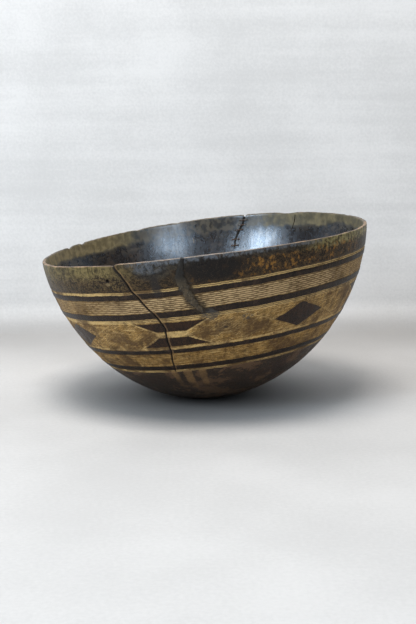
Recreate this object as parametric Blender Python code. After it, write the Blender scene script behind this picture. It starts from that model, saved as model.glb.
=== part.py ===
"""A round-bottomed bowl carved from one block of wood, cracked at the rim and mended.

The bowl is first described upright, in its carver's frame: the lowest point of the turned
outline is at the origin, h runs up the bowl's own axis and the azimuth runs from +X to +Y.
It is then leaned over to the way it stands, and moved so that the small flat worn under its
base lies on z = 0 with its middle at the origin. The front of the bowl looks along -Y.
"""

import math

import bmesh
import bpy
from mathutils import Matrix, Vector

# ---------------------------------------------------------------- driving dimensions (metres)
RIM_RADIUS = 0.180
DEPTH = 0.1792              # from the lip's top down to the lowest point, along the axis
BELLY_POWER = 2.036         # how full the flank is
BASE_POWER = 1.680          # how pointed the base is
OVALITY = 0.989             # front-to-back width over side-to-side width
BASE_DRIFT = 0.0063         # how far the carver let the base wander off the axis, towards -X
LEAN = math.radians(7.5)    # the +X side of the rim stands high
FOOT_RADIUS = 0.026         # the flat worn under the base

LIP_THICKNESS = 0.0036
LIP_CROWN = 0.0012          # how far the rounded lip rises over its shoulders
BASE_THICKNESS = 0.0105
CAVITY_SHIFT = 0.0008       # the hollow sits a little towards +X, so the low side is heavier

# the rim is not level: share of the radius for one, two and three waves round it
RIM_WAVES = ((1, -0.017, 0.026), (2, -0.015, 0.0016), (3, -0.0006, 0.0018))
WAVE_STARTS = 0.84          # share of the depth over which the rim follows those waves

# three broad bands are scraped down into the flank; heights as shares of the depth
SCRAPED_BANDS = ((0.3555, 0.4397), (0.4660, 0.6641), (0.7009, 0.7857))
SCRAPE_DEPTH = 0.0004
SCRAPE_SLOPE = 0.0004       # height of the little step at each edge of a band

AROUND = 56                 # facets round the bowl

# cracks and mends: (azimuth in degrees, height as a share of the depth, width), from the rim down
OPEN_CRACK = ((-119.6, 0.989, 0.0021), (-117.8, 0.934, 0.0020), (-116.0, 0.883, 0.0018),
              (-112.7, 0.771, 0.0015), (-108.0, 0.644, 0.0012), (-107.3, 0.563, 0.0011),
              (-107.9, 0.454, 0.0010), (-110.0, 0.320, 0.0007))
FRONT_MEND = ((-96.6, 0.989, 0.0035), (-97.6, 0.934, 0.0060), (-98.2, 0.889, 0.0100),
              (-97.6, 0.844, 0.0105), (-96.9, 0.804, 0.0095), (-95.8, 0.758, 0.0080),
              (-94.3, 0.718, 0.0060), (-92.6, 0.683, 0.0040))
REAR_MEND = ((73.0, 0.989, 0.0030), (74.0, 0.949, 0.0030), (76.1, 0.909, 0.0028),
             (77.6, 0.863, 0.0026), (78.4, 0.799, 0.0022))
SHORT_CRACK = ((50.2, 0.979, 0.0010), (51.0, 0.934, 0.0010), (52.1, 0.891, 0.0007))
FRONT_SLOT = 0.0030         # width of the crack under the front mend
BEAD_HEIGHT = 0.0017        # the mend stands this proud of the flank
FIT_GAP = 0.0003

DRILLED_HOLE = (-123.2, 0.904)
HOLE_DIAMETER = 0.0040

STAPLE_HEIGHTS = (0.972, 0.946, 0.919, 0.862, 0.820)
STAPLE_SPAN = 0.0090        # from leg to leg
STAPLE_WIRE = 0.0012
STAPLE_TAIL = 0.0026        # the clenched end outside
LEG_HOLE = 0.0020

# rim chips: azimuth in degrees, radius of the bite, how far its centre stands over the lip
RIM_CHIPS = ((154.3, 0.0050, 0.0030), (145.9, 0.0042, 0.0026), (54.0, 0.0150, 0.0135))


# ---------------------------------------------------------------- the shape of the bowl
def turned_outline(h):
    """Radius of the turned outside at height h, and its outward normal (radial, axial)."""
    top = DEPTH - LIP_CROWN
    angle = math.acos(max(0.0, 1.0 - h / top) ** (BASE_POWER / 2))

    def at(a):
        a = min(max(a, 0.0), math.pi / 2)
        return Vector((RIM_RADIUS * math.sin(a) ** (2 / BELLY_POWER),
                       top * (1.0 - math.cos(a) ** (2 / BASE_POWER))))

    along = at(angle + 0.002) - at(angle - 0.002)
    along.normalize()
    return at(angle).x, Vector((along.y, -along.x))


def wall_thickness(h):
    """The wall is thin at the lip and thickens steadily towards the base."""
    depth_share = min(max(1.0 - h / DEPTH, 0.0), 1.0)
    return LIP_THICKNESS + (BASE_THICKNESS - LIP_THICKNESS) * depth_share ** 0.9


def lean_and_wander(point):
    """Give a point of the turned shape its oval, its drift, its rim wave and its lean."""
    depth_share = min(max(1.0 - point.z / DEPTH, 0.0), 1.0)
    azimuth = math.atan2(point.y, point.x)
    wave = sum(c * math.cos(k * azimuth) + s * math.sin(k * azimuth) for k, c, s in RIM_WAVES)
    weight = min(max((point.z / DEPTH - WAVE_STARTS) / (1.0 - WAVE_STARTS), 0.0), 1.0) ** 2
    moved = Vector((point.x - BASE_DRIFT * depth_share ** 2,
                    point.y * OVALITY,
                    point.z + wave * weight * RIM_RADIUS))
    return Matrix.Rotation(-LEAN, 3, 'Y') @ moved


def turned_point(azimuth, h, sink=0.0):
    """Point of the turned outside, sunk into the wall by a distance."""
    radius, normal = turned_outline(h)
    radius -= normal.x * sink
    return Vector((radius * math.cos(azimuth), radius * math.sin(azimuth), h - normal.y * sink))


def find_foot():
    """Where the leaning bowl touches the ground, and how much the wear takes off there."""
    lowest = min((lean_and_wander(turned_point(math.pi, 0.00005 * k)) for k in range(120)),
                 key=lambda p: p.z)
    bottom_curve = 0.70 * RIM_RADIUS
    return Vector((lowest.x, 0.0, lowest.z + FOOT_RADIUS ** 2 / (2 * bottom_curve)))


FOOT = find_foot()


def place(point):
    return lean_and_wander(point) - FOOT


def wall_frame(azimuth_degrees, height_share):
    """Point on the outside of the standing bowl, with its outward and upward directions."""
    a, h = math.radians(azimuth_degrees), height_share * DEPTH
    point = place(turned_point(a, h))
    round_it = place(turned_point(a + 0.002, h)) - place(turned_point(a - 0.002, h))
    up_it = place(turned_point(a, h + 0.0004)) - place(turned_point(a, h - 0.0004))
    outward = round_it.cross(up_it).normalized()
    return point, outward, up_it.normalized()


# ---------------------------------------------------------------- helpers
def finish(name, colour, roughness, metallic=0.0):
    material = bpy.data.materials.new(name)
    material.use_nodes = True
    principled = material.node_tree.nodes["Principled BSDF"]
    principled.inputs["Base Color"].default_value = (*colour, 1.0)
    principled.inputs["Roughness"].default_value = roughness
    principled.inputs["Metallic"].default_value = metallic
    return material


def as_object(name, bm, material=None, guide=False):
    mesh = bpy.data.meshes.new(name)
    bmesh.ops.recalc_face_normals(bm, faces=bm.faces)
    bm.to_mesh(mesh)
    bm.free()
    obj = bpy.data.objects.new(name, mesh)
    bpy.context.scene.collection.objects.link(obj)
    if guide:
        obj.hide_render = True
        obj.display_type = 'WIRE'
    else:
        mesh.shade_smooth()
        mesh.set_sharp_from_angle(angle=math.radians(35))
        mesh.materials.append(material)
    return obj


def cut(body, cutter):
    boolean = body.modifiers.new(cutter.name, 'BOOLEAN')
    boolean.operation = 'DIFFERENCE'
    boolean.solver = 'EXACT'
    boolean.object = cutter


def sweep_along_wall(bm, route, section, above=0.0, below=0.0):
    """Carry a closed section down the wall, one extrusion for each station of the route.

    section(width, thickness) gives the outline as (sideways, outward) pairs. The first and the
    last station are moved on by above and below, along the route."""
    frames = [wall_frame(azimuth, height) for azimuth, height, _ in route]
    centres = [frame[0].copy() for frame in frames]
    centres[0] += (centres[0] - centres[1]).normalized() * above
    centres[-1] += (centres[-1] - centres[-2]).normalized() * below
    face = None
    for i, (_, height, width) in enumerate(route):
        outward = frames[i][1]
        run = centres[min(i + 1, len(route) - 1)] - centres[max(i - 1, 0)]
        side = run.cross(outward).normalized()
        thickness = wall_thickness(height * DEPTH)
        ring = [centres[i] + side * s + outward * n for s, n in section(width, thickness)]
        if face is None:
            face = bm.faces.new([bm.verts.new(p) for p in ring])
            continue
        corners = [v.co.copy() for v in face.verts]
        order = {tuple(c): ring[k] for k, c in enumerate(corners)}
        grown = bmesh.ops.extrude_face_region(bm, geom=[face])["geom"]
        if i > 1:
            bmesh.ops.delete(bm, geom=[face], context='FACES_ONLY')
        for vert in (g for g in grown if isinstance(g, bmesh.types.BMVert)):
            vert.co = order[tuple(vert.co)]
        face = next(g for g in grown if isinstance(g, bmesh.types.BMFace))


def slot_section(margin):
    """A flat blade that goes right through the wall and stands past both its faces."""
    def section(width, thickness):
        half = width / 2 + margin
        return ((-half, 0.004), (half, 0.004), (half, -thickness - 0.004), (-half, -thickness - 0.004))
    return section


def drill(bm, point, direction, diameter, length, sides):
    turn = Vector((0, 0, 1)).rotation_difference(direction).to_matrix().to_4x4()
    bmesh.ops.create_cone(bm, cap_ends=True, segments=sides, radius1=diameter / 2,
                          radius2=diameter / 2, depth=length,
                          matrix=Matrix.Translation(point) @ turn)


# ---------------------------------------------------------------- the pieces
def carve_bowl(wood):
    """Spin the wall's outline round the axis, give it its hand-carved form and flatten the foot."""
    top = DEPTH - LIP_CROWN
    outside = [(share * top, 0.0) for share in (0.0, 0.02, 0.06, 0.12, 0.19, 0.28)]
    half = SCRAPE_SLOPE / 2
    for low, high in ((low * DEPTH, high * DEPTH) for low, high in SCRAPED_BANDS):
        outside += [(low - half, 0.0), (low + half, SCRAPE_DEPTH)]
        if high - low > 0.02:
            outside += [(low + (high - low) * share, SCRAPE_DEPTH) for share in (0.33, 0.67)]
        outside += [(high - half, SCRAPE_DEPTH), (high + half, 0.0)]
    outside += [(share * top, 0.0) for share in (0.84, 0.90, 0.95, 1.0)]
    inside = [share * top for share in (0.95, 0.90, 0.84, 0.74, 0.62, 0.50, 0.38, 0.27, 0.17,
                                        0.09, 0.03, 0.0)]

    bm = bmesh.new()
    hollow = bm.verts.layers.float.new("hollow")
    outline = []
    for h, sink in outside:
        outline.append((turned_point(0.0, h, sink), 0.0))
    for turn in (0.25, 0.5, 0.75):
        angle = math.pi * turn
        outline.append((Vector((RIM_RADIUS - LIP_THICKNESS * (1 - math.cos(angle)) / 2, 0.0,
                                top + LIP_CROWN * math.sin(angle))), 0.0))
    outline.append((Vector((RIM_RADIUS - LIP_THICKNESS, 0.0, top)), 0.0))
    for h in inside:
        outline.append((turned_point(0.0, h, wall_thickness(h)), min(1.0, (1 - h / top) / 0.2)))
    outline[-1][0].x = 0.0

    previous = None
    for point, share in outline:
        vert = bm.verts.new(point)
        vert[hollow] = share
        if previous:
            bm.edges.new((previous, vert))
        previous = vert
    bmesh.ops.spin(bm, geom=bm.verts[:] + bm.edges[:], axis=(0, 0, 1), cent=(0, 0, 0),
                   angle=2 * math.pi, steps=AROUND, use_merge=True)
    bmesh.ops.remove_doubles(bm, verts=bm.verts, dist=0.00001)
    for vert in bm.verts:
        vert.co.x += CAVITY_SHIFT * vert[hollow]
        vert.co = place(vert.co)

    worn = bmesh.ops.bisect_plane(bm, geom=bm.verts[:] + bm.edges[:] + bm.faces[:], dist=0.00002,
                                  plane_co=(0, 0, 0), plane_no=(0, 0, 1), clear_inner=True)
    edge = [g for g in worn["geom_cut"] if isinstance(g, bmesh.types.BMEdge)]
    bmesh.ops.contextual_create(bm, geom=edge)
    return as_object("bowl_body", bm, wood)


def cut_cracks_and_holes(bowl):
    bm = bmesh.new()
    sweep_along_wall(bm, OPEN_CRACK, slot_section(0.0), above=0.008)
    cut(bowl, as_object("open_crack_blade", bm, guide=True))

    bm = bmesh.new()
    front = [(azimuth, height, FRONT_SLOT) for azimuth, height, _ in FRONT_MEND]
    sweep_along_wall(bm, front, slot_section(0.0), above=0.008, below=FIT_GAP)
    cut(bowl, as_object("front_crack_blade", bm, guide=True))

    bm = bmesh.new()
    sweep_along_wall(bm, REAR_MEND, slot_section(0.0), above=0.008, below=FIT_GAP)
    cut(bowl, as_object("rear_crack_blade", bm, guide=True))

    # the short crack opens on the inside only
    bm = bmesh.new()
    sweep_along_wall(bm, SHORT_CRACK, lambda width, wall: (
        (-width / 2, -wall + 0.0018), (width / 2, -wall + 0.0018),
        (width / 2, -wall - 0.004), (-width / 2, -wall - 0.004)))
    cut(bowl, as_object("short_crack_blade", bm, guide=True))

    bm = bmesh.new()
    point, outward, _ = wall_frame(*DRILLED_HOLE)
    drill(bm, point, outward, HOLE_DIAMETER, 0.03, 16)
    for height in STAPLE_HEIGHTS:
        for foot, direction in staple_feet(height):
            drill(bm, foot, direction, LEG_HOLE, 0.03, 8)
    cut(bowl, as_object("hole_drills", bm, guide=True))

    bm = bmesh.new()
    for azimuth, radius, stand in RIM_CHIPS:
        a = math.radians(azimuth)
        lip = place(Vector(((RIM_RADIUS - LIP_THICKNESS / 2) * math.cos(a),
                            (RIM_RADIUS - LIP_THICKNESS / 2) * math.sin(a), DEPTH)))
        bmesh.ops.create_icosphere(bm, subdivisions=2, radius=radius,
                                   matrix=Matrix.Translation(lip + Vector((0, 0, stand))))
    cut(bowl, as_object("rim_chip_bites", bm, guide=True))


def crack_azimuth(route, height):
    """Azimuth of a crack where it passes a height."""
    for (a0, h0, _), (a1, h1, _) in zip(route, route[1:]):
        if h1 <= height <= h0:
            return a0 + (a1 - a0) * (h0 - height) / (h0 - h1)
    return route[0][0]


def staple_feet(height):
    """The two leg axes of a staple: a point on the outside of the wall and the outward way."""
    point, outward, up = wall_frame(crack_azimuth(REAR_MEND, height), height)
    side = up.cross(outward).normalized()
    return [(point + side * STAPLE_SPAN / 2 * way, outward) for way in (-1, 1)]


def bend_staple(number, height, iron):
    """A wire staple: a bar across the crack inside, two legs through the wall, ends clenched."""
    left, right = [foot for foot, _ in staple_feet(height)]
    outward = staple_feet(height)[0][1]
    across = (right - left).normalized()
    inside = -wall_thickness(height * DEPTH) - STAPLE_WIRE / 2 - 2 * FIT_GAP
    outside = STAPLE_WIRE / 2 + 2 * FIT_GAP
    corner = 0.0009

    def rounded(foot, inward):
        """From the clenched tip outside to the start of the bar inside."""
        points = [foot + inward * STAPLE_TAIL + outward * outside]
        for k in range(4):
            turn = math.pi / 2 * k / 3
            points.append(foot + inward * corner * (1 - math.sin(turn))
                          + outward * (outside - corner * (1 - math.cos(turn))))
        for k in range(4):
            turn = math.pi / 2 * k / 3
            points.append(foot + inward * corner * (1 - math.cos(turn))
                          + outward * (inside + corner * (1 - math.sin(turn))))
        return points

    path = rounded(left, across) + rounded(right, -across)[::-1]
    curve = bpy.data.curves.new(f"staple_{number}", 'CURVE')
    curve.dimensions = '3D'
    curve.bevel_depth = STAPLE_WIRE / 2
    curve.bevel_resolution = 1
    curve.use_fill_caps = True
    spline = curve.splines.new('POLY')
    spline.points.add(len(path) - 1)
    for slot, point in zip(spline.points, path):
        slot.co = (*point, 1.0)
    curve.materials.append(iron)
    obj = bpy.data.objects.new(f"staple_{number}", curve)
    bpy.context.scene.collection.objects.link(obj)


def fill_cracks(pitch):
    """Pitch pressed into the two mended cracks; the front one was left as a raised bead."""
    def bead(width, thickness):
        half, stem = width / 2, FRONT_SLOT / 2 - FIT_GAP
        half = max(half, stem + 0.0004)
        return ((-half, FIT_GAP), (-stem, FIT_GAP), (-stem, -thickness + FIT_GAP),
                (stem, -thickness + FIT_GAP), (stem, FIT_GAP), (half, FIT_GAP),
                (half * 0.62, BEAD_HEIGHT * 0.75), (0.0, BEAD_HEIGHT), (-half * 0.62, BEAD_HEIGHT * 0.75))

    bm = bmesh.new()
    sweep_along_wall(bm, FRONT_MEND, bead)
    as_object("front_crack_filler", bm, pitch)

    def plug(width, thickness):
        half = width / 2 - FIT_GAP
        return ((-half, -FIT_GAP), (half, -FIT_GAP),
                (half, -thickness + FIT_GAP), (-half, -thickness + FIT_GAP))

    bm = bmesh.new()
    sweep_along_wall(bm, REAR_MEND, plug)
    as_object("rear_crack_filler", bm, pitch)


def build():
    for obj in list(bpy.data.objects):
        bpy.data.objects.remove(obj, do_unlink=True)
    wood = finish("carved_wood", (0.16, 0.105, 0.055), 0.55)
    pitch = finish("mending_pitch", (0.14, 0.13, 0.10), 0.45)
    iron = finish("staple_iron", (0.23, 0.21, 0.19), 0.50, 0.9)
    bowl = carve_bowl(wood)
    cut_cracks_and_holes(bowl)
    fill_cracks(pitch)
    for number, height in enumerate(STAPLE_HEIGHTS, start=1):
        bend_staple(number, height, iron)


build()
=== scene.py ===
# %% [markdown]
# # A carved wooden bowl, cracked and mended
#
# The bowl was carved from one block of wood. Its outside was stained dark, and then bands,
# lozenges and hatched fields were scraped back to the light wood. The lip is thin and worn, one
# crack stands open, one was closed with a raised run of pitch, and a third was closed with pitch
# and wire staples. The measured model is loaded first and stays fixed; everything below is made to
# fit it.

# %% Load the measured model
import math
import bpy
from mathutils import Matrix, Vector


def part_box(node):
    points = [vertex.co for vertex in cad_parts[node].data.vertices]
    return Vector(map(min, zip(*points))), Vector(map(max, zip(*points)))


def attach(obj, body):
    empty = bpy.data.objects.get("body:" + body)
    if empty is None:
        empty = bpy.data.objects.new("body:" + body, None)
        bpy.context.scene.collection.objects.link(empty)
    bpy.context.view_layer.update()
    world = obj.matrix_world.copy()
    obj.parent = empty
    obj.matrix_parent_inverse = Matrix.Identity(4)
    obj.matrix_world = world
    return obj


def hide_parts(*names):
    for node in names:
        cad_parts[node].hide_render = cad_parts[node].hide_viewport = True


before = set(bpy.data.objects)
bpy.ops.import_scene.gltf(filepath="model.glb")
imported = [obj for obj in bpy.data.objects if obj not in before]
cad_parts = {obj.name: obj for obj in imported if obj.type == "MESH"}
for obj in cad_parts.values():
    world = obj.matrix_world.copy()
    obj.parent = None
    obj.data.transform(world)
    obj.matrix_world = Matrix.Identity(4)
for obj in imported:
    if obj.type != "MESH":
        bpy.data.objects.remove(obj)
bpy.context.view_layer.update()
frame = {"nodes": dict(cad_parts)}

from types import SimpleNamespace

import bmesh
import bpy
from mathutils import Matrix, Vector, noise

bowl_low, bowl_high = (Vector(corner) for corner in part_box("bowl_body"))
print("bowl, low and high corner:", tuple(bowl_low), tuple(bowl_high))

# %% [markdown]
# ## The shape of the bowl
#
# A carver thinks of a bowl as one outline turned round an axis, and then lets the hand and the
# tree change it a little. So the outline is written as a formula: a superellipse, round in the
# belly and slightly pointed at the base. The changes come after it: a slow wave in the rim, a base
# that drifts off the axis, and the lean with which the bowl stands on the worn spot under it.

# %% Sizes of the bowl, in metres
RIM_RADIUS = 0.180
DEPTH = 0.1792
BELLY_POWER, BASE_POWER = 2.036, 1.680
OVALITY = 0.989
BASE_DRIFT = 0.0063
LEAN = math.radians(7.5)
FOOT_RADIUS = 0.026
LIP_THICKNESS, LIP_CROWN, BASE_THICKNESS = 0.0036, 0.0012, 0.0105
CAVITY_SHIFT = 0.0008
RIM_WAVES = ((1, -0.017, 0.026), (2, -0.015, 0.0016), (3, -0.0006, 0.0018))
WAVE_STARTS = 0.84
TOP = DEPTH - LIP_CROWN


def clipped(share):
    return min(max(share, 0.0), 1.0)


def outline_angle(h):
    return math.acos(max(0.0, 1.0 - h / TOP) ** (BASE_POWER / 2))


def outline_at(angle):
    """Radius and height of the turned outside, from the base (0) to the lip (a quarter turn)."""
    angle = min(max(angle, 0.0), math.pi / 2)
    return Vector((RIM_RADIUS * math.sin(angle) ** (2 / BELLY_POWER),
                   TOP * (1.0 - math.cos(angle) ** (2 / BASE_POWER))))


def outline_normal(angle):
    along = (outline_at(angle + 0.002) - outline_at(angle - 0.002)).normalized()
    return Vector((along.y, -along.x))


def wall_thickness(h):
    return LIP_THICKNESS + (BASE_THICKNESS - LIP_THICKNESS) * clipped(1.0 - h / DEPTH) ** 0.9


def turned_point(azimuth, h, sink=0.0):
    """A point on the turned outside, sunk into the wall by a distance."""
    angle = outline_angle(h)
    radius_height, normal = outline_at(angle), outline_normal(angle)
    radius = radius_height.x - normal.x * sink
    return Vector((radius * math.cos(azimuth), radius * math.sin(azimuth),
                   radius_height.y - normal.y * sink))


def lean_and_wander(point):
    depth_share = clipped(1.0 - point.z / DEPTH)
    azimuth = math.atan2(point.y, point.x)
    wave = sum(c * math.cos(k * azimuth) + s * math.sin(k * azimuth) for k, c, s in RIM_WAVES)
    weight = clipped((point.z / DEPTH - WAVE_STARTS) / (1.0 - WAVE_STARTS)) ** 2
    moved = Vector((point.x - BASE_DRIFT * depth_share ** 2, point.y * OVALITY,
                    point.z + wave * weight * RIM_RADIUS))
    return Matrix.Rotation(-LEAN, 3, 'Y') @ moved


def find_foot():
    lowest = min((lean_and_wander(turned_point(math.pi, 0.00005 * k)) for k in range(120)),
                 key=lambda p: p.z)
    return Vector((lowest.x, 0.0, lowest.z + FOOT_RADIUS ** 2 / (2 * 0.70 * RIM_RADIUS)))


FOOT = find_foot() - Vector((0.0, 0.0, bowl_low.z))


def place(point):
    """From the carver's upright bowl to the bowl as it stands on the ground."""
    return lean_and_wander(point) - FOOT


def wall_frame(azimuth_degrees, height_share):
    """A point on the outside of the standing bowl, with its outward and upward directions."""
    a, h = math.radians(azimuth_degrees), height_share * DEPTH
    point = place(turned_point(a, h))
    round_it = place(turned_point(a + 0.002, h)) - place(turned_point(a - 0.002, h))
    up_it = place(turned_point(a, h + 0.0004)) - place(turned_point(a, h - 0.0004))
    return point, round_it.cross(up_it).normalized(), up_it.normalized()


print("foot found at", tuple(round(c, 4) for c in FOOT))

# %% [markdown]
# ## Where the scraping, the cracks and the mends are
#
# Heights are shares of the bowl's depth and directions are degrees round its axis, so the same few
# numbers guide the geometry and the finish. The scraped bands are real steps in the wood, because
# the scraper takes away the stained skin and a little wood with it.

# %% Bands, cracks, mends and holes
BROAD_BANDS = ((0.3555, 0.4397), (0.4660, 0.6641), (0.7009, 0.7857))
THIN_LINES = ((0.3104, 0.3264), (0.8176, 0.8347))
BAND_SINK, LINE_SINK, STEP = 0.0004, 0.0003, 0.0004

LOZENGES = (-240.0, -153.0, -55.3, 32.0)
BUTTERFLIES = (-197.0, -105.0, -11.0, 76.0)
MOTIF_MIDDLE = 0.561
SEAM = 98.0

# routes down the wall: direction, height, width in metres
OPEN_CRACK = ((-119.8, 1.000, 0.0023), (-119.3, 0.970, 0.0021), (-117.8, 0.934, 0.0020),
              (-117.0, 0.905, 0.0018), (-116.2, 0.883, 0.0018), (-115.3, 0.836, 0.0017),
              (-113.6, 0.800, 0.0016), (-112.7, 0.771, 0.0015), (-110.9, 0.722, 0.0014),
              (-109.6, 0.695, 0.0013), (-108.0, 0.644, 0.0012), (-107.2, 0.600, 0.0011),
              (-107.3, 0.563, 0.0011), (-107.9, 0.520, 0.0011), (-107.8, 0.454, 0.0010),
              (-108.9, 0.400, 0.0009), (-109.4, 0.360, 0.0008), (-110.0, 0.322, 0.0006))
FRONT_MEND = ((-96.6, 0.989, 0.0035), (-97.6, 0.934, 0.0060), (-98.2, 0.889, 0.0100),
              (-97.6, 0.844, 0.0105), (-96.9, 0.804, 0.0095), (-95.8, 0.758, 0.0080),
              (-94.3, 0.718, 0.0060), (-92.6, 0.683, 0.0040))
REAR_MEND = ((73.0, 0.989, 0.0030), (74.0, 0.949, 0.0030), (76.1, 0.909, 0.0028),
             (77.6, 0.863, 0.0026), (78.4, 0.799, 0.0022))
SHORT_CRACK = ((50.0, 0.985, 0.0010), (50.6, 0.950, 0.0011), (51.0, 0.930, 0.0010),
               (52.1, 0.891, 0.0007))
FRONT_SLOT, BEAD_HEIGHT, FIT_GAP = 0.0030, 0.0017, 0.0003
DRILLED_HOLE, HOLE_DIAMETER = (-123.2, 0.904), 0.0040
STAPLE_HEIGHTS = (0.972, 0.946, 0.919, 0.862, 0.820)
STAPLE_SPAN, STAPLE_WIRE, STAPLE_TAIL, LEG_HOLE = 0.0090, 0.0012, 0.0026, 0.0020
# worn places on the lip: direction, depth of the bite, half its width in degrees
LIP_BITES = ((154.3, 0.0020, 1.3), (145.9, 0.0018, 1.0), (72.8, 0.0010, 0.6),
             (54.0, 0.0012, 3.5), (118.0, 0.0008, 1.8), (101.0, 0.0006, 1.2),
             (-119.6, 0.0012, 0.7), (-78.0, 0.0006, 2.0), (20.0, 0.0007, 1.5),
             (-150.0, 0.0005, 2.5))
WORM_PITS = ((-47.0, 0.960), (-37.6, 0.956), (-36.9, 0.936), (-34.6, 0.940), (-52.5, 0.949))
WORM_PIT = 0.0013


def crack_azimuth(route, height):
    for (a0, h0, _), (a1, h1, _) in zip(route, route[1:]):
        if h1 <= height <= h0:
            return a0 + (a1 - a0) * (h0 - height) / (h0 - h1)
    return route[0][0]

# %% [markdown]
# ## Turning the wall
#
# Half a cross-section of the wall is drawn as a chain of edges: up the outside, over the lip and
# down the inside. Spinning that chain a full turn round the axis gives the whole shell at once,
# with even rings that follow the bands. Drawing it as a chain, and not shaping a sphere, puts a
# ring of edges exactly at each step of the scraping.

# %% Draw the half section and spin it
AROUND = 372
OUTSIDE_STEP, INSIDE_STEP = 0.0133, 0.0205      # of the outline's angle, about 2.4 and 3.7 mm


def rings_between(low, high, step):
    """Heights from low to high, spaced evenly along the outline, without the last one."""
    a, b = outline_angle(low), outline_angle(high)
    count = max(1, round(abs(b - a) / step))
    return [outline_at(a + (b - a) * k / count).y for k in range(count)]


def outside_rings():
    """(height, sink) up the outside, with a pair of rings at each edge of a scraped band."""
    steps = sorted([(low * DEPTH, high * DEPTH, BAND_SINK) for low, high in BROAD_BANDS]
                   + [(low * DEPTH, high * DEPTH, LINE_SINK) for low, high in THIN_LINES])
    rings, level = [], 0.0
    for low, high, sink in steps:
        rings += [(h, 0.0) for h in rings_between(level, low - STEP / 2, OUTSIDE_STEP)]
        rings.append((low - STEP / 2, 0.0))
        rings += [(h, sink) for h in rings_between(low + STEP / 2, high - STEP / 2, OUTSIDE_STEP)]
        rings.append((high - STEP / 2, sink))
        level = high + STEP / 2
    return rings + [(h, 0.0) for h in rings_between(level, TOP, OUTSIDE_STEP)] + [(TOP, 0.0)]


def spin_shell():
    bm = bmesh.new()
    side = bm.verts.layers.float.new("inside")      # 0 on the outside, 1 on the inside
    chain = [(turned_point(0.0, h, sink), 0.0) for h, sink in outside_rings()]
    for k in range(1, 8):
        turn = math.pi * k / 8
        chain.append((Vector((RIM_RADIUS - LIP_THICKNESS * (1 - math.cos(turn)) / 2, 0.0,
                              TOP + LIP_CROWN * math.sin(turn))), k / 8))
    heights = rings_between(TOP, 0.0, INSIDE_STEP) + [0.0]
    chain.append((Vector((RIM_RADIUS - LIP_THICKNESS, 0.0, TOP)), 1.0))
    chain += [(turned_point(0.0, h, wall_thickness(h)), 1.0) for h in heights[1:]]
    chain[-1][0].x = 0.0
    previous = None
    for point, share in chain:
        vert = bm.verts.new(point)
        vert[side] = share
        if previous:
            bm.edges.new((previous, vert))
        previous = vert
    bmesh.ops.spin(bm, geom=bm.verts[:] + bm.edges[:], axis=(0, 0, 1), cent=(0, 0, 0),
                   angle=2 * math.pi, steps=AROUND, use_merge=True)
    bmesh.ops.remove_doubles(bm, verts=bm.verts, dist=0.00001)
    bmesh.ops.recalc_face_normals(bm, faces=bm.faces)
    return bm


shell = spin_shell()
print("shell:", len(shell.verts), "corners,", len(shell.faces), "faces")

# %% [markdown]
# ## Marking out the skin
#
# Before the shape is disturbed, every face learns where it lies: a map called "carving" holds the
# direction in degrees and the height as a share of the depth, and a map called "motif" holds how
# many degrees a place is from the middle of its nearest lozenge or butterfly. The finish reads
# these maps, so its lines run round the bowl however the wall is moved later. Each face also gets
# its slot: 0 outside, 1 inside, 2 lip.

# %% Write the maps and the slots
def unrolled(azimuth_degrees, near=None):
    """Degrees in the range that ends at the seam, or next to another direction."""
    degrees = azimuth_degrees
    while degrees > SEAM:
        degrees -= 360.0
    while degrees <= SEAM - 360.0:
        degrees += 360.0
    if near is not None and degrees - near > 180.0:
        degrees -= 360.0
    if near is not None and near - degrees > 180.0:
        degrees += 360.0
    return degrees


def mark_out(bm):
    carving, motif = bm.loops.layers.uv.new("carving"), bm.loops.layers.uv.new("motif")
    side = bm.verts.layers.float["inside"]
    middles = [(m, 0.0) for m in LOZENGES] + [(m, 1.0) for m in BUTTERFLIES]
    for face in bm.faces:
        middle = face.calc_center_median()
        here = unrolled(math.degrees(math.atan2(middle.y, middle.x)))
        nearest, kind = min(middles, key=lambda m: abs(here - m[0]))
        for loop in face.loops:
            co = loop.vert.co
            if co.xy.length < 0.0001:
                degrees = here
            else:
                degrees = unrolled(math.degrees(math.atan2(co.y, co.x)), near=here)
            loop[carving].uv = (degrees, co.z / DEPTH)
            loop[motif].uv = (degrees - nearest, kind)
        share = sum(v[side] for v in face.verts) / len(face.verts)
        face.material_index = 0 if share < 0.13 else 1 if share > 0.87 else 2
        face.smooth = True


mark_out(shell)
print("faces outside, inside, lip:",
      [sum(f.material_index == k for f in shell.faces) for k in range(3)])

# %% [markdown]
# ## What hands and years did to it
#
# A turned shape is too perfect. The adze left broad soft facets inside, the scraper left the
# outside slightly uneven, the lip is bitten and rubbed, and the crack let one side of the rim drop
# a little. These are moves of the vertices along the wall, as with a sculpting brush, and each is
# less than a millimetre or two.

# %% Move the wall
def bump(value, middle, half_width):
    return math.exp(-((value - middle) / half_width) ** 2)


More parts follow.
